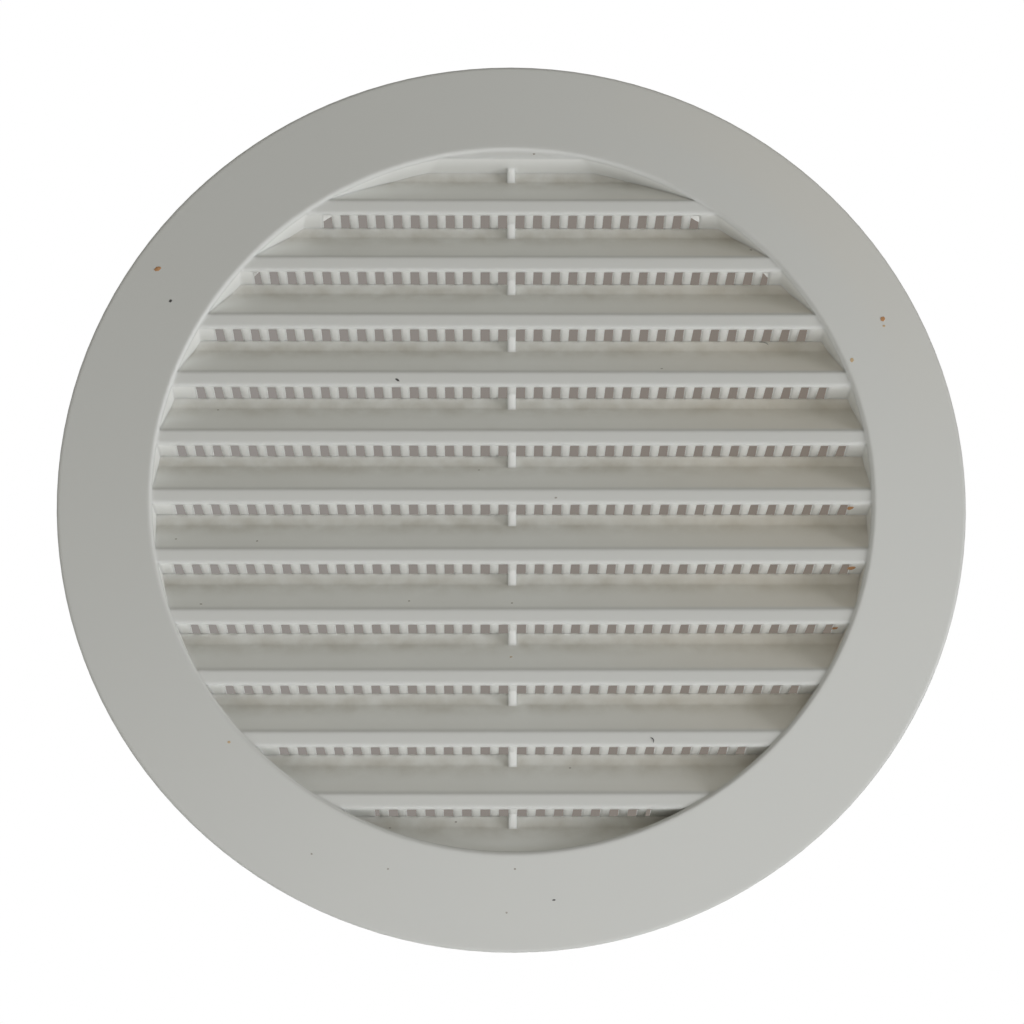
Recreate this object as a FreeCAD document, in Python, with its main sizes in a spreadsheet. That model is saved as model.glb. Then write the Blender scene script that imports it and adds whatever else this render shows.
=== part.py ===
import FreeCAD, Part
import math
import os

import Sketcher

# Round wall vent cover, moulded in one piece: a flange that bears on the wall, a spigot that
# enters the duct, and a folded sheet of fixed louvres whose ledges are pierced by rows of slots.
#
# Frame, in millimetres: X to the right and Z up as the cover hangs on the wall, Y into the duct.
# The origin lies on the spigot's axis, in the plane of the wall behind the flange.

SIZES = {
    # Flange: a shallow cone that thins towards its outer edge, hollowed behind next to the spigot
    "flange_radius": 74.8,
    "flange_depth": 3.0,
    "flange_wall": 1.8,
    "edge_wall": 0.8,
    # Spigot: the straight collar round the opening
    "opening_radius": 59.0,
    "mouth_bevel": 0.5,
    "spigot_wall": 2.0,
    "spigot_length": 25.0,
    "spigot_lead": 1.0,
    # Louvres: one fold is a rear band, a sloping blade, an upright lip and a tapered ledge
    "row_count": 11,
    "row_pitch": 10.0,
    "middle_lip_top": 0.18,
    "lip_recess": 0.6,
    "lip_height": 2.36,
    "lip_round": 0.5,
    "ledge_depth": 5.85,
    "ledge_drop": 0.53,
    "band_height": 1.9,
    "valley_depth": 5.24,
    "louvre_wall": 1.25,
    # Gussets: one small rib on the centre line of each valley
    "rib_width": 1.35,
    "rib_front": 3.7,
    "rib_foot": 0.8,
    "rib_bite": 0.5,
    # Slots through the ledges, each open behind above the rear band
    "slot_pitch": 2.96,
    "slot_width": 1.56,
    "slot_least": 0.6,
    "slot_margin": 1.8,
    "slot_clear": 0.06,
}

ORIGIN = (-1, 1)
START, END = 1, 2


def add_sheet(doc):
    """Put every driving size in a sheet, one aliased cell each."""
    sheet = doc.addObject("Spreadsheet::Sheet", "Sizes")
    for row, (name, value) in enumerate(SIZES.items(), start=1):
        sheet.set(f"A{row}", name)
        sheet.set(f"B{row}", str(value))
        sheet.setAlias(f"B{row}", name)
    doc.recompute()
    return sheet


def origin_feature(body, role):
    """Return the body's own origin plane or axis with this role."""
    return next(item for item in body.Origin.OriginFeatures if item.Role == role)


def add_sketch(body, name, role, across="0", up="0"):
    """Attach an empty sketch to an origin plane, shifted in that plane by two expressions."""
    sketch = body.newObject("Sketcher::SketchObject", name)
    sketch.AttachmentSupport = [(origin_feature(body, role), "")]
    sketch.MapMode = "FlatFace"
    sketch.setExpression("AttachmentOffset.Base.x", across)
    sketch.setExpression("AttachmentOffset.Base.y", up)
    return sketch


def constrain(sketch, kind, *references, name=None, value=None):
    """Add one constraint, with a value where it has a name."""
    if name is None:
        sketch.addConstraint(Sketcher.Constraint(kind, *references))
        return
    index = sketch.addConstraint(Sketcher.Constraint(kind, *references, value))
    sketch.renameConstraint(index, name)


def bind(sketch, **expressions):
    """Bind named constraints to expressions of the sheet's cells."""
    for name, expression in expressions.items():
        sketch.setExpression(f"Constraints.{name}", expression)


def add_polygon(sketch, corners):
    """Draw a closed polygon and fix each corner at a pair of expressions of the sheet's cells."""
    points = [FreeCAD.Vector(evaluate(sketch, x), evaluate(sketch, y), 0) for x, y in corners]
    count = len(points)
    for index, point in enumerate(points):
        sketch.addGeometry(Part.LineSegment(point, points[(index + 1) % count]), False)
    for index in range(count):
        constrain(sketch, "Coincident", index, END, (index + 1) % count, START)
    for index, (point, (x, y)) in enumerate(zip(points, corners)):
        constrain(sketch, "DistanceX", *ORIGIN, index, START, name=f"across_{index}", value=point.x)
        constrain(sketch, "DistanceY", *ORIGIN, index, START, name=f"up_{index}", value=point.y)
        bind(sketch, **{f"across_{index}": x, f"up_{index}": y})


def evaluate(sketch, expression):
    """Work out an expression of the sheet's cells as a plain number."""
    return float(sketch.evalExpression(expression))


def build_ring(doc):
    """Flange and spigot: one section turned about the Y axis."""
    body = doc.addObject("PartDesign::Body", "Ring")
    sketch = add_sketch(body, "RingSection", "XY_Plane")
    inner = "Sizes.opening_radius"
    outer = "Sizes.opening_radius + Sizes.spigot_wall"
    edge = "Sizes.flange_radius"
    slope = "(Sizes.flange_depth - Sizes.edge_wall) / (Sizes.flange_radius - Sizes.opening_radius)"
    back = "Sizes.flange_wall - Sizes.flange_depth"
    add_polygon(sketch, [
        (inner, "Sizes.mouth_bevel - Sizes.flange_depth"),
        (f"{inner} + Sizes.mouth_bevel", f"Sizes.mouth_bevel * {slope} - Sizes.flange_depth"),
        (edge, "-Sizes.edge_wall"),
        (edge, "0"),
        (f"{inner} - ({back}) / ({slope})", "0"),
        (outer, f"{back} + Sizes.spigot_wall * {slope}"),
        (outer, "Sizes.spigot_length - Sizes.spigot_lead"),
        (f"{outer} - Sizes.spigot_lead", "Sizes.spigot_length"),
        (inner, "Sizes.spigot_length"),
    ])
    turned = body.newObject("PartDesign::Revolution", "RingTurned")
    turned.Profile = sketch
    turned.ReferenceAxis = (sketch, ["V_Axis"])
    turned.Angle = 360.0
    doc.recompute()
    return body


LIP_PLANE = "Sizes.lip_recess - Sizes.flange_depth"
FIRST_LIP_TOP = "(Sizes.row_count - 1) / 2 * Sizes.row_pitch + Sizes.middle_lip_top"
HEAD_LIP_TOP = f"{FIRST_LIP_TOP} + Sizes.row_pitch"
LEDGE_REAR = "Sizes.lip_height + Sizes.ledge_drop"
VALLEY = f"{LEDGE_REAR} + Sizes.band_height"
LEDGE_SLOPE = "Sizes.ledge_drop / Sizes.ledge_depth"


def fold_corners(sheet):
    """Work out one fold's section, from the lip's top edge: depth behind the lip and height.

    The back of the blade and of the band follows the front at one wall's distance. The ledge
    has that wall at its root and tapers to nothing above the band, so that its slots are open behind.
    """
    wall = sheet.louvre_wall
    ledge_rear = sheet.lip_height + sheet.ledge_drop
    valley = ledge_rear + sheet.band_height
    lip_top = FreeCAD.Vector(0, 0, 0)
    lip_bottom = FreeCAD.Vector(0, -sheet.lip_height, 0)
    rear = FreeCAD.Vector(sheet.ledge_depth, -ledge_rear, 0)
    pitch = FreeCAD.Vector(0, sheet.row_pitch, 0)
    fold = FreeCAD.Vector(sheet.valley_depth, -valley, 0)

    def back_line(first, second):
        """Shift the line through two front corners to the sheet's back."""
        along = (second - first).normalize()
        shift = FreeCAD.Vector(-along.y, along.x, 0) * wall
        return first + shift, along

    def crossing(one, other):
        """Return the point where two lines, each a point and a direction, cross."""
        (start, along), (point, way) = one, other
        gap = point - start
        reach = (gap.x * way.y - gap.y * way.x) / (along.x * way.y - along.y * way.x)
        return start + along * reach

    band = back_line(rear, fold)
    blade = back_line(fold + pitch, lip_top)
    ledge = back_line(lip_bottom, rear)
    lower_blade = back_line(fold, lip_top - pitch)
    return {
        "lip_top": lip_top,
        "lip_bottom": lip_bottom,
        "rear": rear,
        "fold": fold,
        "pitch": pitch,
        "notch": crossing(ledge, blade),
        "heel": crossing((rear, FreeCAD.Vector(1, 0, 0)), band),
        "knee": crossing(band, lower_blade),
    }


def draw_fold(sketch, sheet):
    """Draw one fold of the sheet and constrain it: fronts by size, backs by the wall's thickness."""
    corner = fold_corners(sheet)
    pitch = corner["pitch"]
    radius = sheet.lip_round
    round_start = corner["lip_bottom"] + FreeCAD.Vector(0, radius, 0)
    round_end = corner["lip_bottom"] + FreeCAD.Vector(radius, 0, 0)
    centre = corner["lip_bottom"] + FreeCAD.Vector(radius, radius, 0)
    circle = Part.Circle(centre, FreeCAD.Vector(0, 0, 1), radius)

    path = [corner["rear"] + pitch, corner["fold"] + pitch, corner["lip_top"], round_start]
    upper_band, blade, lip = [
        sketch.addGeometry(Part.LineSegment(*ends), False) for ends in zip(path, path[1:])]
    lip_round = sketch.addGeometry(Part.ArcOfCircle(circle, math.pi, 1.5 * math.pi), False)
    path = [round_end, corner["rear"], corner["heel"], corner["notch"],
            corner["knee"] + pitch, corner["heel"] + pitch, corner["rear"] + pitch]
    ledge, lower_end, ledge_back, blade_back, band_back, upper_end = [
        sketch.addGeometry(Part.LineSegment(*ends), False) for ends in zip(path, path[1:])]
    lip_corner = sketch.addGeometry(Part.Point(corner["lip_bottom"]), True)

    constrain(sketch, "Coincident", upper_band, END, blade, START)
    constrain(sketch, "Coincident", blade, END, lip, START)
    constrain(sketch, "Tangent", lip, END, lip_round, START)
    constrain(sketch, "Tangent", lip_round, END, ledge, START)
    loop = [ledge, lower_end, ledge_back, blade_back, band_back, upper_end, upper_band]
    for one, other in zip(loop, loop[1:]):
        constrain(sketch, "Coincident", one, END, other, START)

    constrain(sketch, "Coincident", lip, START, *ORIGIN)
    constrain(sketch, "Vertical", lip)
    constrain(sketch, "PointOnObject", lip_corner, START, lip)
    constrain(sketch, "PointOnObject", lip_corner, START, ledge)
    constrain(sketch, "DistanceY", lip_corner, START, *ORIGIN, name="lip_height", value=sheet.lip_height)
    constrain(sketch, "Radius", lip_round, name="lip_round", value=radius)
    constrain(sketch, "DistanceX", *ORIGIN, ledge, END, name="ledge_depth", value=sheet.ledge_depth)
    constrain(sketch, "DistanceY", ledge, END, *ORIGIN, name="ledge_rear", value=-corner["rear"].y)
    constrain(sketch, "Vertical", ledge, END, upper_band, START)
    constrain(sketch, "DistanceY", ledge, END, upper_band, START, name="front_pitch", value=pitch.y)
    constrain(sketch, "DistanceX", *ORIGIN, blade, START, name="valley_depth", value=sheet.valley_depth)
    constrain(sketch, "DistanceY", blade, START, upper_band, START, name="band_height",
              value=sheet.band_height)
    constrain(sketch, "Parallel", blade_back, blade)
    constrain(sketch, "Parallel", band_back, upper_band)
    constrain(sketch, "Horizontal", lower_end)
    for back, front, name in ((ledge_back, ledge, "ledge_wall"), (blade_back, blade, "blade_wall"),
                              (band_back, upper_band, "band_wall")):
        constrain(sketch, "Distance", back, END, front, name=name, value=sheet.louvre_wall)
        bind(sketch, **{name: "Sizes.louvre_wall"})
    constrain(sketch, "Vertical", lower_end, END, upper_end, START)
    constrain(sketch, "DistanceY", lower_end, END, upper_end, START, name="back_pitch", value=pitch.y)
    bind(sketch, lip_height="Sizes.lip_height", lip_round="Sizes.lip_round",
         ledge_depth="Sizes.ledge_depth", ledge_rear=LEDGE_REAR, front_pitch="Sizes.row_pitch",
         valley_depth="Sizes.valley_depth", band_height="Sizes.band_height",
         back_pitch="Sizes.row_pitch")


def add_pad(body, name, sketch, width):
    """Pad a section to both sides of the middle plane."""
    pad = body.newObject("PartDesign::Pad", name)
    pad.Profile = sketch
    pad.SideType = "Symmetric"
    pad.setExpression("Length", width)
    body.Document.recompute()
    return pad


def repeat_down(body, name, feature, sketch):
    """Repeat a feature downwards, once for each valley of the grille."""
    pattern = body.newObject("PartDesign::LinearPattern", name)
    pattern.Originals = [feature]
    pattern.Direction = (sketch, ["V_Axis"])
    pattern.Reversed = True
    pattern.Mode = "Spacing"
    pattern.setExpression("Offset", "Sizes.row_pitch")
    pattern.setExpression("Occurrences", "Sizes.row_count + 1")
    body.Tip = pattern
    body.Document.recompute()
    return pattern


def build_louvres(doc, sheet):
    """Folded louvre sheet with gussets and the land above its first row, wider than the opening."""
    body = doc.addObject("PartDesign::Body", "Louvres")
    full_width = "2 * (Sizes.opening_radius + Sizes.spigot_wall)"

    fold = add_sketch(body, "FoldSection", "YZ_Plane", LIP_PLANE, FIRST_LIP_TOP)
    draw_fold(fold, sheet)
    doc.recompute()
    first_fold = add_pad(body, "FirstFold", fold, full_width)
    repeat_down(body, "Folds", first_fold, fold)

    corner = fold_corners(sheet)
    head = add_sketch(body, "HeadSection", "YZ_Plane", LIP_PLANE, HEAD_LIP_TOP)
    top = f"Sizes.opening_radius + Sizes.spigot_wall - ({HEAD_LIP_TOP})"
    heel = str(corner["heel"].x)
    add_polygon(head, [
        ("0", "-Sizes.lip_height"),
        ("Sizes.ledge_depth", f"-({LEDGE_REAR})"),
        (heel, f"-({LEDGE_REAR})"),
        (heel, top),
        ("0", top),
    ])
    doc.recompute()
    add_pad(body, "Head", head, full_width)

    rib = add_sketch(body, "RibSection", "YZ_Plane", LIP_PLANE, HEAD_LIP_TOP)
    add_polygon(rib, [
        ("Sizes.rib_front", f"Sizes.rib_bite / 2 - Sizes.lip_height - Sizes.rib_front * {LEDGE_SLOPE}"),
        ("Sizes.valley_depth", f"-({VALLEY}) - Sizes.rib_foot"),
        ("Sizes.ledge_depth + Sizes.rib_bite", f"-({LEDGE_REAR})"),
    ])
    doc.recompute()
    first_rib = add_pad(body, "FirstRib", rib, "Sizes.rib_width")
    repeat_down(body, "Ribs", first_rib, rib)
    return body


def slot_places(sheet):
    """List the slots as (left, right, row): those inside a circle a margin within the opening.

    A slot that the circle crosses is kept narrower, or left out where too little of it is left.
    """
    reach = sheet.opening_radius - sheet.slot_margin
    rows = int(sheet.row_count)
    places = []
    for row in range(rows):
        lip_top = sheet.middle_lip_top + ((rows - 1) / 2 - row) * sheet.row_pitch
        level = lip_top - sheet.lip_height - sheet.ledge_drop
        half_chord = math.sqrt(max(reach ** 2 - level ** 2, 0.0))
        near = (sheet.slot_pitch - sheet.slot_width) / 2
        while half_chord - near >= sheet.slot_least:
            far = min(near + sheet.slot_width, half_chord)
            places += [(near, far, row), (-far, -near, row)]
            near += sheet.slot_pitch
    return places


def build_slots(doc, sheet):
    """Cutters for every slot, each a block through its ledge that runs out above the rear band."""
    corner = fold_corners(sheet)
    front = corner["notch"].x + sheet.slot_clear
    rear = corner["heel"].x + sheet.slot_clear
    bottom = corner["rear"].y
    top = corner["notch"].y + sheet.slot_clear
    lip_plane = sheet.lip_recess - sheet.flange_depth
    first = (sheet.row_count - 1) / 2
    blocks = []
    for left, right, row in slot_places(sheet):
        lip_top = sheet.middle_lip_top + (first - row) * sheet.row_pitch
        corner_point = FreeCAD.Vector(left, lip_plane + front, lip_top + bottom)
        blocks.append(Part.makeBox(right - left, rear - front, top - bottom, corner_point))
    slots = doc.addObject("Part::Feature", "Slots")
    slots.Shape = Part.makeCompound(blocks)
    return slots


def boolean(doc, kind, name, base, tool):
    """Combine two objects of the document."""
    result = doc.addObject(kind, name)
    result.Base = base
    result.Tool = tool
    return result


def build_cover(doc, sheet):
    """Trim the louvres to the spigot's wall, pierce the ledges and join them to the ring."""
    ring = build_ring(doc)
    louvres = build_louvres(doc, sheet)

    core = doc.addObject("Part::Cylinder", "Core")
    core.setExpression("Radius", "Sizes.opening_radius + Sizes.spigot_wall / 2")
    core.setExpression("Height", "Sizes.flange_depth + Sizes.spigot_length")
    core.Placement = FreeCAD.Placement(FreeCAD.Vector(0, 0, 0),
                                       FreeCAD.Rotation(FreeCAD.Vector(1, 0, 0), -90))
    core.setExpression("Placement.Base.y", "-Sizes.flange_depth")

    grille = boolean(doc, "Part::Common", "Grille", louvres, core)
    pierced = boolean(doc, "Part::Cut", "PiercedGrille", grille, build_slots(doc, sheet))
    cover = boolean(doc, "Part::Fuse", "Cover", ring, pierced)
    cover.Label = "vent_cover"
    cover.Placement = FreeCAD.Placement()
    doc.recompute()
    return cover


def check(doc, parts):
    """Stop where an object failed to build, or a part isn't one sound solid."""
    for item in doc.Objects:
        if {"Invalid", "Error"} & set(item.State):
            raise RuntimeError(f"{item.Name} failed: {item.State}")
    for part in parts:
        shape = part.Shape
        if shape.isNull() or not shape.isValid() or len(shape.Solids) != 1:
            raise RuntimeError(f"{part.Label} is not one sound solid")


def main():
    """Build the cover and write it to its file."""
    doc = FreeCAD.newDocument("VentCover")
    sheet = add_sheet(doc)
    parts = [build_cover(doc, sheet)]
    check(doc, parts)
    os.makedirs("parts", exist_ok=True)
    for part in parts:
        part.Shape.exportStep(os.path.join("parts", f"{part.Label}.step"))
        print(part.Label, "volume", round(part.Shape.Volume, 1), "faces", len(part.Shape.Faces))


main()
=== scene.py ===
import logging
import math
import random
from collections.abc import Iterable
from dataclasses import dataclass
from enum import Enum
from typing import Any

import bmesh
import bpy
from mathutils import Euler, Matrix, Vector
from mathutils.bvhtree import BVHTree


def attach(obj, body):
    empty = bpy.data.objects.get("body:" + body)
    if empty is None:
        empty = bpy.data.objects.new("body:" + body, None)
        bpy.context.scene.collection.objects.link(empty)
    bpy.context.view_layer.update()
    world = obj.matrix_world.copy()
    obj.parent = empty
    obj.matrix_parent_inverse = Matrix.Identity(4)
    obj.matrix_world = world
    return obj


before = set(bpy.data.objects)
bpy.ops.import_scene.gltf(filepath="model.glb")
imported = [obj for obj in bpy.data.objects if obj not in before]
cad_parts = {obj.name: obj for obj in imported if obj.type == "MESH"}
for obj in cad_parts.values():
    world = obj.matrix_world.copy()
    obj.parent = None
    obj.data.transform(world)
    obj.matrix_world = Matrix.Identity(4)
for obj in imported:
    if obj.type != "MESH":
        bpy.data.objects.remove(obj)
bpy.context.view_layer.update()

LOG = logging.getLogger("vent_cover")
COVER_NODE = "vent_cover"
BODY = "root"
MM = 0.001

Colour = tuple[float, float, float, float]
Tree = bpy.types.NodeTree
Socket = bpy.types.NodeSocket

# sRGB's curve: a straight toe, then a power with an offset.
SRGB_TOE = 0.04045
SRGB_TOE_SLOPE = 12.92
SRGB_OFFSET = 0.055
SRGB_POWER = 2.4

# Settings that several nodes share, and the places of a colour mix's sockets.
SOFT_STEP = {"interpolation_type": "SMOOTHSTEP"}
PRODUCT = {"operation": "MULTIPLY"}
LARGER = {"operation": "MAXIMUM"}
COLOUR_MIX = {"data_type": "RGBA"}
MIX_SHARE, MIX_UNDER, MIX_OVER, MIX_RESULT = 0, 6, 7, 2

# Leaves a vector's part across the spigot's axis, which is Y.
ACROSS_AXIS = (1.0, 0.0, 1.0)


def linear(hex_code: str) -> Colour:
    """Turn an sRGB hex value into a linear colour.

    Args:
        hex_code: The colour as "#RRGGBB".

    Returns:
        Red, green and blue in linear light, and an alpha of one.
    """
    channels = [int(hex_code[at:at + 2], 16) / 255 for at in (1, 3, 5)]
    red, green, blue = (
        value / SRGB_TOE_SLOPE if value <= SRGB_TOE
        else ((value + SRGB_OFFSET) / (1 + SRGB_OFFSET)) ** SRGB_POWER
        for value in channels
    )
    return red, green, blue, 1.0


def add_node(
    tree: Tree,
    kind: str,
    settings: dict[str, Any] | None = None,
    inputs: dict[str | int, Any] | None = None,
) -> bpy.types.Node:
    """Add a node with its settings, and set or link its inputs.

    Args:
        tree: The node tree that takes the node.
        kind: The node's type name.
        settings: Properties of the node itself.
        inputs: A value, or another node's output to link, for each input by name or number.

    Returns:
        The new node.
    """
    node = tree.nodes.new(kind)
    for name, value in (settings or {}).items():
        setattr(node, name, value)
    for name, value in (inputs or {}).items():
        if isinstance(value, Socket):
            tree.links.new(value, node.inputs[name])
        else:
            node.inputs[name].default_value = value
    return node


def per_metre(size_mm: float) -> float:
    """Give the texture scale at which one cell of a pattern is this many millimetres wide."""
    return 1 / (size_mm * MM)


def new_material(name: str) -> bpy.types.Material:
    """Make an empty material with nodes.

    Args:
        name: The material's name.

    Returns:
        The new material.
    """
    material = bpy.data.materials.new(name)
    material.use_nodes = True
    material.node_tree.nodes.clear()
    return material


def mesh_object(
    name: str, mesh: bmesh.types.BMesh, material: bpy.types.Material,
) -> bpy.types.Object:
    """Turn mesh data into an object of the scene.

    Args:
        name: The object's name.
        mesh: The mesh data, which is freed.
        material: The object's one material.

    Returns:
        The new object.
    """
    data = bpy.data.meshes.new(name)
    mesh.to_mesh(data)
    mesh.free()
    data.materials.append(material)
    piece = bpy.data.objects.new(name, data)
    bpy.context.scene.collection.objects.link(piece)
    return piece


@dataclass(frozen=True)
class MouldedAbs:
    """Off-white ABS as it comes from a satin mould, with painted light and shade in its colour.

    Attributes:
        recess_painted_light: The plastic behind the lips, painted lighter than the front faces:
            painted light that lifts the shade in the recesses.
        face: The lips' open face, painted darker than the recessed plastic: painted shade on the
            well-lit front faces.
        flange: The flange's face, a tone darker still than the lips' face.
        front_shade_end_mm: Depth along Y where the lips' darker face tone ends; the blend paints
            their rounded lower edges lighter, a painted highlight.
        recess_light_mm: Depth along Y where the lighter recessed tone, the painted light, is full.
        mouth_mm: Radius of the mouth, where the flange's tone starts.
        mouth_blend_mm: Width over which that tone comes in.
        wall_mm: Depth along Y of the wall behind the flange, where its tone ends.
        cloud: The slightly yellower tone of its faint clouds.
        cloud_strength: Share of that tone at its fullest.
        dust_crease_shade_colour: Dark warm film on what faces upwards in the valleys: partly dust,
            partly painted shade that darkens towards each crease.
        right_end_shade: Painted shade: a tan tint on what faces upwards in the valleys, growing
            towards their right-hand ends, where the shade falls warm.
        right_shade_start_mm: Place along X where the painted shade starts.
        right_shade_full_mm: Place along X where the painted shade is full.
        right_shade_strength: Share of the painted shade's colour at its fullest.
        ior: Refractive index of ABS.
        roughness: The satin mould's mean roughness.
        roughness_spread: How far the roughness wanders from cloud to cloud.
        cloud_mm: Width of the clouds.
        dust_shade_patch_mm: Width of the patches of that film of dust and painted shade.
        grain_mm: Width of the satin grain.
        grain_height_mm: Height of the satin grain.
        noise_detail: Steps of finer detail in the clouds, the film of dust and painted shade, and
            the grain.
        edge_mm: Radius that the mould's corners leave on every edge.
        edge_samples: Rays that round an edge in the shading.
        dust_shade_near_mm: Depth along Y where the film of dust and painted shade starts.
        dust_shade_far_mm: Depth along Y where that film is full.
        dust_shade_end_mm: Depth along Y behind the louvres where that film has gone.
        dust_shade_strength: Share of that film's colour at its fullest.
        dust_shade_lean: Upward share of the surface's normal at which that film is full.
        row_mm: Spacing of the louvre rows.
        crease_mm: Height along Z of the middle row's crease, where band and blade meet.
        rise_mm: Height above a crease over which the film and its painted shade thin out.
    """

    name: str = "abs_satin_moulded"
    recess_painted_light: str = "#E3E4E1"
    face: str = "#C6C7C4"
    flange: str = "#C3C4C1"
    front_shade_end_mm: float = -2.35
    recess_light_mm: float = -1.5
    mouth_mm: float = 59.05
    mouth_blend_mm: float = 0.5
    wall_mm: float = 0.3
    cloud: str = "#C6C6C0"
    cloud_strength: float = 0.3
    dust_crease_shade_colour: str = "#9C9483"
    right_end_shade: str = "#D0C5B2"
    right_shade_start_mm: float = 0.0
    right_shade_full_mm: float = 58.0
    right_shade_strength: float = 0.4
    ior: float = 1.54
    roughness: float = 0.42
    roughness_spread: float = 0.05
    cloud_mm: float = 16.0
    dust_shade_patch_mm: float = 3.5
    grain_mm: float = 0.4
    grain_height_mm: float = 0.006
    noise_detail: float = 3.0
    edge_mm: float = 0.9
    edge_samples: int = 6
    dust_shade_near_mm: float = -0.5
    dust_shade_far_mm: float = 3.5
    dust_shade_end_mm: float = 9.0
    dust_shade_strength: float = 0.9
    dust_shade_lean: float = 0.3
    row_mm: float = 10.0
    crease_mm: float = -4.61
    rise_mm: float = 3.4

    def build(self) -> bpy.types.Material:
        """Make the material.

        Satin ABS gives the eye an even, slightly warm white with a broad soft sheen, faint clouds
        and softly rounded edges that catch a thin line of light. Its grain is finer than the render
        can show, so it is drawn coarser here. Painted light and shade sit in the colour: lighter
        recesses, darker front faces, and darker, warmer creases and right-hand valley ends.

        Returns:
            The material.
        """
        material = new_material(self.name)
        tree = material.node_tree
        place = add_node(tree, "ShaderNodeTexCoord").outputs["Object"]
        along = add_node(tree, "ShaderNodeSeparateXYZ", inputs={"Vector": place}).outputs
        clouds = add_node(tree, "ShaderNodeTexNoise", inputs={
            "Vector": place, "Scale": per_metre(self.cloud_mm),
            "Detail": self.noise_detail}).outputs["Fac"]
        behind = add_node(tree, "ShaderNodeMapRange", SOFT_STEP, {
            "Value": along["Y"], "From Min": self.front_shade_end_mm * MM,
            "From Max": self.recess_light_mm * MM}).outputs["Result"]
        upward_share = self.add_upward_mask(tree, along["Y"])

        # Painted light: lighter plastic behind the lips, darker on their face and on the flange.
        tone_with_painted_light = self.add_painted_light_tone(tree, place, clouds, behind)
        # Partly dust, partly painted shade: a dark warm film on upward faces, thickest along each
        # crease.
        dust_shade_share = self.add_dust_film_and_shade(tree, place, upward_share)
        dusted_and_shaded = add_node(tree, "ShaderNodeMix", COLOUR_MIX, {
            MIX_SHARE: dust_shade_share, MIX_UNDER: tone_with_painted_light,
            MIX_OVER: linear(self.dust_crease_shade_colour)}).outputs[MIX_RESULT]
        # Painted shade: a tan tint on recessed upward faces, growing towards the right-hand ends.
        recessed_upward = add_node(tree, "ShaderNodeMath", PRODUCT, {
            0: behind, 1: upward_share}).outputs[0]
        right_shade_share = add_node(tree, "ShaderNodeMath", PRODUCT, {
            0: recessed_upward, 1: self.right_shade_strength}).outputs[0]
        rightward = add_node(tree, "ShaderNodeMapRange", SOFT_STEP, {
            "Value": along["X"], "From Min": self.right_shade_start_mm * MM,
            "From Max": self.right_shade_full_mm * MM, "To Max": right_shade_share}).outputs["Result"]
        colour = add_node(tree, "ShaderNodeMix", COLOUR_MIX, {
            MIX_SHARE: rightward, MIX_UNDER: dusted_and_shaded,
            MIX_OVER: linear(self.right_end_shade)}).outputs[MIX_RESULT]

        sheen = add_node(tree, "ShaderNodeMapRange", inputs={
            "Value": clouds, "To Min": self.roughness - self.roughness_spread,
            "To Max": self.roughness + self.roughness_spread}).outputs["Result"]
        plastic = add_node(tree, "ShaderNodeBsdfPrincipled", inputs={
            "Base Color": colour, "Roughness": sheen, "IOR": self.ior,
            "Normal": self.add_relief(tree, place)})
        add_node(tree, "ShaderNodeOutputMaterial", inputs={"Surface": plastic.outputs["BSDF"]})
        return material

    def add_painted_light_tone(self, tree: Tree, place: Socket, clouds: Socket, behind: Socket) -> Socket:
        """Add the plastic's tone with its painted light: lighter recesses, darker lips, a darker
        flange, and faint clouds.

        Args:
            tree: The material's nodes.
            place: The point on the cover.
            clouds: The clouds at that point.
            behind: How far the point is behind the lips' face, from 0 to 1.

        Returns:
            The plastic's colour with its painted light, before the dust and shade.
        """
        # Painted light and shade: the recessed plastic is lighter and the lips' face darker.
        grille = add_node(tree, "ShaderNodeMix", COLOUR_MIX, {
            MIX_SHARE: behind, MIX_UNDER: linear(self.face),
            MIX_OVER: linear(self.recess_painted_light)}).outputs[MIX_RESULT]
        radial = add_node(tree, "ShaderNodeVectorMath", PRODUCT, {
            0: place, 1: ACROSS_AXIS}).outputs["Vector"]
        radius = add_node(tree, "ShaderNodeVectorMath", {"operation": "LENGTH"}, {
            0: radial}).outputs["Value"]
        depth = add_node(tree, "ShaderNodeSeparateXYZ", inputs={"Vector": place}).outputs["Y"]
        before_wall = add_node(tree, "ShaderNodeMath", {"operation": "LESS_THAN"}, {
            0: depth, 1: self.wall_mm * MM}).outputs[0]
        on_flange = add_node(tree, "ShaderNodeMapRange", SOFT_STEP, {
            "Value": radius, "From Min": self.mouth_mm * MM,
            "From Max": (self.mouth_mm + self.mouth_blend_mm) * MM,
            "To Max": before_wall}).outputs["Result"]
        painted_light_mix = add_node(tree, "ShaderNodeMix", COLOUR_MIX, {
            MIX_SHARE: on_flange, MIX_UNDER: grille,
            MIX_OVER: linear(self.flange)}).outputs[MIX_RESULT]
        cloudy = add_node(tree, "ShaderNodeMath", PRODUCT, {
            0: clouds, 1: self.cloud_strength}).outputs[0]
        return add_node(tree, "ShaderNodeMix", COLOUR_MIX, {
            MIX_SHARE: cloudy, MIX_UNDER: painted_light_mix,
            MIX_OVER: linear(self.cloud)}).outputs[MIX_RESULT]

    def add_upward_mask(self, tree: Tree, depth: Socket) -> Socket:
        """Add the share of dust and painted shade: all on what faces upwards, none below or far
        behind.

        Args:
            tree: The material's nodes.
            depth: Depth of the point along Y.

        Returns:
            The share, from 0 to 1.
        """
        leaving = add_node(tree, "ShaderNodeMapRange", SOFT_STEP, {
            "Value": depth, "From Min": self.dust_shade_far_mm * MM, "From Max": self.dust_shade_end_mm * MM,
            "To Min": 1.0, "To Max": 0.0}).outputs["Result"]
        normal = add_node(tree, "ShaderNodeNewGeometry").outputs["Normal"]
        facing = add_node(tree, "ShaderNodeSeparateXYZ", inputs={"Vector": normal}).outputs["Z"]
        return add_node(tree, "ShaderNodeMapRange", inputs={
            "Value": facing, "From Max": self.dust_shade_lean, "To Max": leaving}).outputs["Result"]

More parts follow.
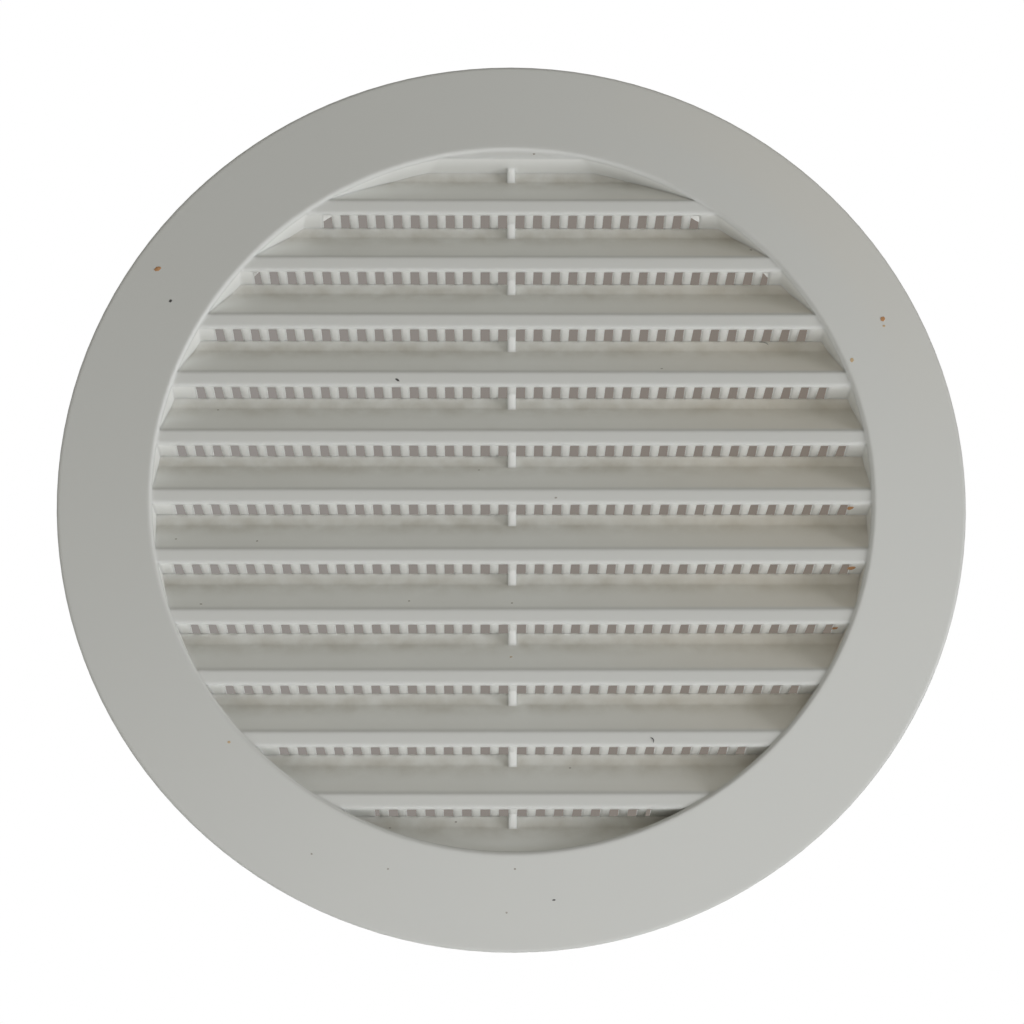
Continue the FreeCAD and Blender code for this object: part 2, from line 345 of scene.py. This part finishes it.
    def add_dust_film_and_shade(self, tree: Tree, place: Socket, upward_share: Socket) -> Socket:
        """Add the patchy film of dust and painted shade, darkest along each row's crease.

        Args:
            tree: The material's nodes.
            place: The point on the cover.
            upward_share: The share of dust and painted shade there.

        Returns:
            How much of the film's dark warm colour shows.
        """
        along = add_node(tree, "ShaderNodeSeparateXYZ", inputs={"Vector": place}).outputs
        entering = add_node(tree, "ShaderNodeMapRange", SOFT_STEP, {
            "Value": along["Y"], "From Min": self.dust_shade_near_mm * MM,
            "From Max": self.dust_shade_far_mm * MM,
            "To Max": self.dust_shade_strength}).outputs["Result"]
        in_row = add_node(tree, "ShaderNodeMath", {"operation": "WRAP"}, {
            0: along["Z"], 1: (self.crease_mm + self.row_mm / 2) * MM,
            2: (self.crease_mm - self.row_mm / 2) * MM}).outputs[0]
        # Painted shade: the film darkens towards each crease and fades over rise_mm above it.
        crease_darkening = add_node(tree, "ShaderNodeMapRange", SOFT_STEP, {
            "Value": in_row, "From Min": self.crease_mm * MM,
            "From Max": (self.crease_mm + self.rise_mm) * MM,
            "To Min": entering, "To Max": 0.0}).outputs["Result"]
        patches = add_node(tree, "ShaderNodeTexNoise", inputs={
            "Vector": place, "Scale": per_metre(self.dust_shade_patch_mm),
            "Detail": self.noise_detail}).outputs["Fac"]
        valley = add_node(tree, "ShaderNodeMath", PRODUCT, {0: crease_darkening, 1: upward_share}).outputs[0]
        return add_node(tree, "ShaderNodeMath", PRODUCT, {0: valley, 1: patches}).outputs[0]

    def add_relief(self, tree: Tree, place: Socket) -> Socket:
        """Add the rounded edges and the satin grain.

        Args:
            tree: The material's nodes.
            place: The point on the cover.

        Returns:
            The normal that the light meets.
        """
        grain = add_node(tree, "ShaderNodeTexNoise", inputs={
            "Vector": place, "Scale": per_metre(self.grain_mm),
            "Detail": self.noise_detail}).outputs["Fac"]
        rounded = add_node(tree, "ShaderNodeBevel", {"samples": self.edge_samples}, {
            "Radius": self.edge_mm * MM}).outputs["Normal"]
        return add_node(tree, "ShaderNodeBump", inputs={
            "Height": grain, "Distance": self.grain_height_mm * MM,
            "Normal": rounded}).outputs["Normal"]


class Tone(Enum):
    """Colours of the dirt on the cover."""

    SOOT = "#2A2826"
    RUST = "#A8743A"
    TAN = "#B69C74"
    DUST = "#8F8A80"


@dataclass(frozen=True)
class DriedDirt:
    """A dried crumb of dirt: dull, with no sheen, and uneven in colour.

    Attributes:
        tone: The dirt's colour.
        crumb_mm: Width of its uneven patches.
        lightest: How much lighter its palest patches are, as a share of white.
        roughness: Roughness of a dry crumb.
    """

    tone: Tone
    crumb_mm: float = 0.3
    lightest: float = 0.12
    roughness: float = 0.9

    def build(self) -> bpy.types.Material:
        """Make the material, which looks matt and crumbly next to the satin plastic.

        Returns:
            The material.
        """
        material = new_material(f"dried_dirt_{self.tone.name.lower()}")
        tree = material.node_tree
        dark = linear(self.tone.value)
        light = tuple(value + (1 - value) * self.lightest for value in dark)
        place = add_node(tree, "ShaderNodeTexCoord").outputs["Object"]
        crumbs = add_node(tree, "ShaderNodeTexNoise", inputs={
            "Vector": place, "Scale": per_metre(self.crumb_mm)}).outputs["Fac"]
        colour = add_node(tree, "ShaderNodeMix", COLOUR_MIX, {
            MIX_SHARE: crumbs, MIX_UNDER: dark, MIX_OVER: light}).outputs[MIX_RESULT]
        dirt = add_node(tree, "ShaderNodeBsdfPrincipled", inputs={
            "Base Color": colour, "Roughness": self.roughness})
        add_node(tree, "ShaderNodeOutputMaterial", inputs={"Surface": dirt.outputs["BSDF"]})
        return material


@dataclass(frozen=True)
class PhotoCamera:
    """The camera as it stood for the photograph.

    Attributes:
        place_mm: Where it stands.
        turn_deg: Its turn about X, Y and Z.
        lens_mm: Focal length on the sensor below.
        sensor_mm: Width of the sensor.
        picture: Width and height of the picture in pixels.
        clip_mm: Nearest and farthest distance that it shows.
    """

    place_mm: tuple[float, float, float] = (-5.16, -420.84, -100.2)
    turn_deg: tuple[float, float, float] = (102.999, 0.1444, -0.6656)
    lens_mm: float = 92.21
    sensor_mm: float = 36.0
    picture: int = 1024
    clip_mm: tuple[float, float] = (10.0, 100000.0)

    def build(self) -> None:
        """Put the camera in the scene and make it the one that renders."""
        data = bpy.data.cameras.new("photo_camera")
        data.lens = self.lens_mm
        data.sensor_width = self.sensor_mm
        data.clip_start, data.clip_end = (distance * MM for distance in self.clip_mm)
        camera = bpy.data.objects.new("photo_camera", data)
        camera.location = Vector(self.place_mm) * MM
        camera.rotation_euler = self.turn()
        bpy.context.scene.collection.objects.link(camera)
        bpy.context.scene.camera = camera

    def turn(self) -> Euler:
        """Give the camera's turn in radians."""
        return Euler([math.radians(angle) for angle in self.turn_deg])

    def ray(self, pixel: tuple[float, float]) -> tuple[Vector, Vector]:
        """Find the line of sight through a pixel.

        Args:
            pixel: Pixels from the picture's left and top edges.

        Returns:
            The line's start and its direction.
        """
        focal = self.lens_mm / self.sensor_mm * self.picture
        centre = self.picture / 2
        sight = Vector((pixel[0] - centre, centre - pixel[1], -focal))
        sight.rotate(self.turn())
        return Vector(self.place_mm) * MM, sight.normalized()


@dataclass(frozen=True)
class Fleck:
    """One crumb of dirt.

    Attributes:
        pixel: Where it shows in the photograph.
        long_mm: Its length.
        wide_mm: Its width.
        turn_deg: The turn of its length from the picture's right.
        tone: Its colour.
    """

    pixel: tuple[float, float]
    long_mm: float
    wide_mm: float
    turn_deg: float
    tone: Tone


@dataclass(frozen=True)
class Hair:
    """One short hair or fibre.

    Attributes:
        pixel: Where its middle shows in the photograph.
        length_mm: Its length.
        thick_mm: Its thickness.
        turn_deg: The turn of its length from the picture's right.
        bow: How far its middle stands off the line of its ends, as a share of its length.
    """

    pixel: tuple[float, float]
    length_mm: float
    thick_mm: float
    turn_deg: float
    bow: float


FLECKS = (
    Fleck((157.5, 269.0), 1.15, 0.75, 25, Tone.RUST),
    Fleck((170.6, 301.0), 0.62, 0.5, 40, Tone.SOOT),
    Fleck((882.5, 319.0), 0.9, 0.75, 60, Tone.RUST),
    Fleck((884.0, 326.0), 0.5, 0.4, 10, Tone.TAN),
    Fleck((852.0, 360.0), 0.75, 0.6, 80, Tone.TAN),
    Fleck((751.0, 250.0), 0.45, 0.35, 0, Tone.DUST),
    Fleck((397.5, 380.0), 0.85, 0.4, -35, Tone.SOOT),
    Fleck((661.7, 368.6), 0.4, 0.3, 20, Tone.DUST),
    Fleck((555.7, 497.8), 0.45, 0.3, 0, Tone.DUST),
    Fleck((479.0, 470.0), 0.4, 0.3, 30, Tone.DUST),
    Fleck((218.0, 410.0), 0.4, 0.3, 0, Tone.DUST),
    Fleck((257.0, 541.0), 0.4, 0.3, 60, Tone.DUST),
    Fleck((201.0, 604.0), 0.4, 0.3, 0, Tone.DUST),
    Fleck((176.0, 539.0), 0.4, 0.3, 0, Tone.DUST),
    Fleck((409.0, 601.0), 0.4, 0.3, 10, Tone.DUST),
    Fleck((512.0, 603.0), 0.4, 0.3, 10, Tone.DUST),
    Fleck((511.0, 657.0), 0.45, 0.35, 10, Tone.TAN),
    Fleck((570.0, 768.0), 0.4, 0.3, 10, Tone.DUST),
    Fleck((456.0, 822.0), 0.4, 0.3, 10, Tone.DUST),
    Fleck((390.0, 828.0), 0.4, 0.3, 10, Tone.DUST),
    Fleck((554.0, 900.0), 0.6, 0.25, 12, Tone.SOOT),
    Fleck((515.0, 869.0), 0.35, 0.3, 0, Tone.DUST),
    Fleck((388.0, 869.0), 0.35, 0.3, 0, Tone.DUST),
    Fleck((506.5, 912.7), 0.35, 0.3, 0, Tone.DUST),
    Fleck((311.5, 854.0), 0.35, 0.3, 0, Tone.DUST),
    Fleck((229.0, 742.0), 0.5, 0.4, 0, Tone.TAN),
    Fleck((534.0, 154.0), 0.4, 0.3, 0, Tone.DUST),
    Fleck((850.5, 508.0), 1.5, 1.1, 75, Tone.RUST),
    Fleck((851.5, 568.0), 1.7, 1.2, 75, Tone.RUST),
    Fleck((835.0, 628.0), 1.2, 0.9, 65, Tone.RUST),
)

HAIRS = (
    Hair((764.0, 344.0), 1.7, 0.09, -20, 0.18),
    Hair((652.0, 740.0), 0.95, 0.16, -60, 0.22),
)


@dataclass
class SurfaceDirt:
    """The crumbs and hairs that lie on the cover.

    Attributes:
        camera: The camera whose pixels place them.
        carrier: The node that they lie on.
        flecks: The crumbs.
        hairs: The hairs.
        height_share: A crumb's height as a share of its width.
        unevenness: How far a crumb's corners wander, as a share of its size.
        crumb_rounds: Subdivisions of the ball that a crumb starts from.
        hair_steps: Rings along a hair.
        hair_sides: Sides of a hair's ring.
        hair_tip: Square of a hair's thickness at its ends, as a share of its middle's.
        seed: Start of the random draws.
    """

    camera: PhotoCamera
    carrier: bpy.types.Object
    flecks: tuple[Fleck, ...] = FLECKS
    hairs: tuple[Hair, ...] = HAIRS
    height_share: float = 0.3
    unevenness: float = 0.22
    crumb_rounds: int = 2
    hair_steps: int = 9
    hair_sides: int = 6
    hair_tip: float = 0.05
    seed: int = 11

    def build(self) -> list[bpy.types.Object]:
        """Make one piece for each colour of crumb and one for the hairs.

        Returns:
            The new pieces.
        """
        draws = random.Random(self.seed)
        tree = self.surface()
        finishes = {tone: DriedDirt(tone).build() for tone in Tone}
        pieces = []
        for tone, finish in finishes.items():
            mesh = bmesh.new()
            for fleck in self.flecks:
                if fleck.tone is tone:
                    self.add_fleck(mesh, fleck, tree, draws)
            pieces.append(mesh_object(f"dirt_{tone.name.lower()}", mesh, finish))
        mesh = bmesh.new()
        for hair in self.hairs:
            self.add_hair(mesh, hair, tree)
        pieces.append(mesh_object("dirt_hairs", mesh, finishes[Tone.SOOT]))
        for piece in pieces:
            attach(piece, BODY)
        return pieces

    def surface(self) -> BVHTree:
        """Give the carrier's faces in a form that lines of sight can be cast on.

        Returns:
            The faces, sorted for the search.
        """
        place = self.carrier.matrix_world
        data = self.carrier.data
        return BVHTree.FromPolygons(
            [place @ vertex.co for vertex in data.vertices],
            [tuple(face.vertices) for face in data.polygons])

    def seat(self, pixel: tuple[float, float], turn_deg: float, tree: BVHTree) -> Matrix:
        """Find where a pixel's line of sight meets the carrier.

        Args:
            pixel: The pixel in the photograph.
            turn_deg: Turn of the seat's X axis from the picture's right.
            tree: The carrier's faces.

        Returns:
            A frame on the surface, with Z along the surface's normal.
        """
        start, sight = self.camera.ray(pixel)
        point, normal, _, _ = tree.ray_cast(start, sight)
        if point is None:
            raise ValueError(f"nothing carries the dirt at {pixel}")
        if normal.dot(sight) > 0:
            normal = -normal
        right = Vector((1, 0, 0))
        across = (right - normal * right.dot(normal)).normalized()
        up = normal.cross(across)
        frame_here = Matrix((across, up, normal)).transposed().to_4x4()
        frame_here.translation = point
        return frame_here @ Matrix.Rotation(math.radians(turn_deg), 4, "Z")

    def add_fleck(
        self, mesh: bmesh.types.BMesh, fleck: Fleck, tree: BVHTree, draws: random.Random,
    ) -> None:
        """Add one uneven crumb, half sunk in the surface.

        Args:
            mesh: The mesh that takes it.
            fleck: The crumb.
            tree: The carrier's faces.
            draws: The source of the crumb's unevenness.
        """
        seat = self.seat(fleck.pixel, fleck.turn_deg, tree)
        half = Vector((fleck.long_mm, fleck.wide_mm, fleck.wide_mm * self.height_share)) * MM / 2
        made = bmesh.ops.create_icosphere(mesh, subdivisions=self.crumb_rounds, radius=1.0)
        for vertex in made["verts"]:
            swell = 1 + draws.uniform(-self.unevenness, self.unevenness)
            vertex.co = seat @ Vector(a * b * swell for a, b in zip(vertex.co, half))

    def add_hair(self, mesh: bmesh.types.BMesh, hair: Hair, tree: BVHTree) -> None:
        """Add one bowed hair that lies on the surface.

        Args:
            mesh: The mesh that takes it.
            hair: The hair.
            tree: The carrier's faces.
        """
        seat = self.seat(hair.pixel, hair.turn_deg, tree)
        radius = hair.thick_mm * MM / 2
        rings = []
        for step in range(self.hair_steps):
            along = step / (self.hair_steps - 1) * 2 - 1
            bowed = (1 - along ** 2) * hair.bow * hair.length_mm
            middle = Vector((along * hair.length_mm / 2, bowed, 0))
            taper = math.sqrt(max(1 - along ** 4, self.hair_tip))
            ring = []
            for side in range(self.hair_sides):
                angle = math.tau * side / self.hair_sides
                around = Vector((0, math.cos(angle), 1 + math.sin(angle))) * radius * taper
                ring.append(mesh.verts.new(seat @ (middle * MM + around)))
            rings.append(ring)
        for near, far in zip(rings, rings[1:]):
            for side in range(self.hair_sides):
                after = (side + 1) % self.hair_sides
                mesh.faces.new((near[side], near[after], far[after], far[side]))
        mesh.faces.new(rings[0])
        mesh.faces.new(reversed(rings[-1]))


@dataclass
class Moulding:
    """The one-piece cover: flange, spigot and louvres.

    Attributes:
        node: The CAD node.
        finish: Its plastic.
    """

    node: bpy.types.Object
    finish: MouldedAbs = MouldedAbs()

    def dress(self) -> bpy.types.Object:
        """Give the node its plastic.

        Returns:
            The node.
        """
        self.node.data.materials.clear()
        self.node.data.materials.append(self.finish.build())
        return self.node


@dataclass(frozen=True)
class SoftLamp:
    """A square studio lamp.

    Attributes:
        name: Its name.
        place_mm: Where it stands.
        size_mm: Its side.
        watts: Its power.
        colour: Its colour.
        aim_mm: The point that it faces, by default the middle of the cover.
    """

    name: str
    place_mm: tuple[float, float, float]
    size_mm: float
    watts: float
    colour: str = "#FFFFFF"
    aim_mm: tuple[float, float, float] = (0.0, 0.0, 0.0)

    def build(self) -> None:
        """Put the lamp in the scene, out of the camera's sight."""
        data = bpy.data.lights.new(self.name, "AREA")
        data.size = self.size_mm * MM
        data.energy = self.watts
        data.color = linear(self.colour)[:3]
        lamp = bpy.data.objects.new(self.name, data)
        lamp.location = Vector(self.place_mm) * MM
        facing = Vector(self.aim_mm) - Vector(self.place_mm)
        lamp.rotation_euler = facing.to_track_quat("-Z", "Y").to_euler()
        lamp.visible_camera = False
        bpy.context.scene.collection.objects.link(lamp)


LAMPS = (
    SoftLamp("side_lamp", (1355, -600, -225), 600, 11.5, "#FAFBFF"),
    SoftLamp("low_lamp", (85, -300, -510), 700, 2.4, "#FAFBFF"),
    SoftLamp("left_lamp", (-415, -955, -595), 500, 1.4, "#FAFBFF"),
    SoftLamp("rear_lamp", (0, 1000, -500), 900, 7.0),
)


@dataclass(frozen=True)
class Studio:
    """Pale floor, white surroundings, lamps, and a glowing card of painted shade behind the slots.

    Attributes:
        lamps: The lamps.
        floor_mm: Height of the floor.
        floor_half_mm: Half the floor's side.
        floor_colour: The floor's paint.
        surround: What the eye and the plastic's sheen see all round.
        fill: Colour of the light from all round.
        fill_strength: Strength of that light.
        room_depth_mm: Depth of the painted-shade card behind the slots, just behind the louvres.
        room_radius_mm: Radius of that card.
        room_sides: Sides of its rim.
        room_shade_left: Its painted shade on the left.
        room_shade_right: Its painted shade on the right, darker.
    """

    lamps: tuple[SoftLamp, ...] = LAMPS
    floor_mm: float = -1500.0
    floor_half_mm: float = 10000.0
    floor_colour: str = "#E8E8E5"
    surround: str = "#FFFFFF"
    fill: str = "#F8F4E5"
    fill_strength: float = 0.28
    room_depth_mm: float = 6.2
    room_radius_mm: float = 59.5
    room_sides: int = 96
    room_shade_left: str = "#928E8B"
    room_shade_right: str = "#7B7269"

    def build(self) -> None:
        """Make the floor, the painted-shade card, the light and the lamps."""
        bpy.context.scene.view_settings.view_transform = "Standard"
        self.build_floor()
        self.build_painted_backdrop()
        self.build_world()
        for lamp in self.lamps:
            lamp.build()

    def build_floor(self) -> None:
        """Lay the floor: the eye sees its plain pale paint from above, and nothing from below."""
        mesh = bmesh.new()
        bmesh.ops.create_grid(mesh, x_segments=1, y_segments=1, size=self.floor_half_mm * MM)
        material = new_material("floor_paint_matt")
        tree = material.node_tree
        below = add_node(tree, "ShaderNodeNewGeometry").outputs["Backfacing"]
        seen = add_node(tree, "ShaderNodeLightPath").outputs["Is Camera Ray"]
        paint = add_node(tree, "ShaderNodeBsdfDiffuse", inputs={"Color": linear(self.floor_colour)})
        even = add_node(tree, "ShaderNodeEmission", inputs={"Color": linear(self.floor_colour)})
        shown = add_node(tree, "ShaderNodeMixShader", inputs={
            0: seen, 1: paint.outputs[0], 2: even.outputs[0]})
        clear = add_node(tree, "ShaderNodeBsdfTransparent")
        side = add_node(tree, "ShaderNodeMixShader", inputs={
            0: below, 1: shown.outputs[0], 2: clear.outputs[0]})
        add_node(tree, "ShaderNodeOutputMaterial", inputs={"Surface": side.outputs[0]})
        floor = mesh_object("floor", mesh, material)
        floor.location.z = self.floor_mm * MM

    def build_painted_backdrop(self) -> None:
        """Hang a glowing card of painted shade behind the slots, darker towards the right: it shows
        from the front only.
        """
        mesh = bmesh.new()
        radius = self.room_radius_mm * MM
        bmesh.ops.create_circle(mesh, cap_ends=True, segments=self.room_sides, radius=radius)
        material = new_material("painted_shade_behind_slots")
        tree = material.node_tree
        across = add_node(tree, "ShaderNodeSeparateXYZ", inputs={
            "Vector": add_node(tree, "ShaderNodeTexCoord").outputs["Object"]}).outputs["X"]
        share = add_node(tree, "ShaderNodeMapRange", inputs={
            "Value": across, "From Min": -radius, "From Max": radius}).outputs["Result"]
        colour = add_node(tree, "ShaderNodeMix", COLOUR_MIX, {
            MIX_SHARE: share, MIX_UNDER: linear(self.room_shade_left),
            MIX_OVER: linear(self.room_shade_right)}).outputs[MIX_RESULT]
        # Painted shade: the card glows with the grey of a shaded room, darker towards the right.
        shade_emission = add_node(tree, "ShaderNodeEmission", inputs={"Color": colour})
        clear = add_node(tree, "ShaderNodeBsdfTransparent")
        seen = add_node(tree, "ShaderNodeLightPath").outputs["Is Camera Ray"]
        behind = add_node(tree, "ShaderNodeNewGeometry").outputs["Backfacing"]
        shown = add_node(tree, "ShaderNodeMath", {"operation": "SUBTRACT", "use_clamp": True}, {
            0: seen, 1: behind}).outputs[0]
        side = add_node(tree, "ShaderNodeMixShader", inputs={
            0: shown, 1: clear.outputs[0], 2: shade_emission.outputs[0]})
        add_node(tree, "ShaderNodeOutputMaterial", inputs={"Surface": side.outputs[0]})
        shade_card = mesh_object("painted_shade_behind_slots", mesh, material)
        shade_card.rotation_euler.x = math.radians(90)
        shade_card.location.y = self.room_depth_mm * MM

    def build_world(self) -> None:
        """Surround the object with white for the eye and with a softer fill for the light."""
        world = bpy.data.worlds.new("studio_surroundings")
        world.use_nodes = True
        tree = world.node_tree
        tree.nodes.clear()
        path = add_node(tree, "ShaderNodeLightPath")
        seen = add_node(tree, "ShaderNodeMath", LARGER, {
            0: path.outputs["Is Camera Ray"], 1: path.outputs["Is Transmission Ray"]}).outputs[0]
        shown = add_node(tree, "ShaderNodeMath", LARGER, {
            0: seen, 1: path.outputs["Is Glossy Ray"]}).outputs[0]
        fill = add_node(tree, "ShaderNodeBackground", inputs={
            "Color": linear(self.fill), "Strength": self.fill_strength})
        white = add_node(tree, "ShaderNodeBackground", inputs={"Color": linear(self.surround)})
        mixed = add_node(tree, "ShaderNodeMixShader", inputs={
            0: shown, 1: fill.outputs[0], 2: white.outputs[0]})
        add_node(tree, "ShaderNodeOutputWorld", inputs={"Surface": mixed.outputs[0]})
        bpy.context.scene.world = world


def report(pieces: Iterable[bpy.types.Object]) -> None:
    """Log each piece with its count of faces.

    Args:
        pieces: The pieces to log.
    """
    for piece in pieces:
        LOG.info("%s: %d faces", piece.name, len(piece.data.polygons))


def main() -> None:
    """Dress the cover, lay the dirt on it and set it in the studio."""
    logging.basicConfig(level=logging.INFO, format="%(name)s %(message)s")
    camera = PhotoCamera()
    camera.build()
    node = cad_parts[COVER_NODE]
    report([Moulding(node).dress()])
    report(SurfaceDirt(camera, node).build())
    Studio().build()


if __name__ == "__main__":
    main()
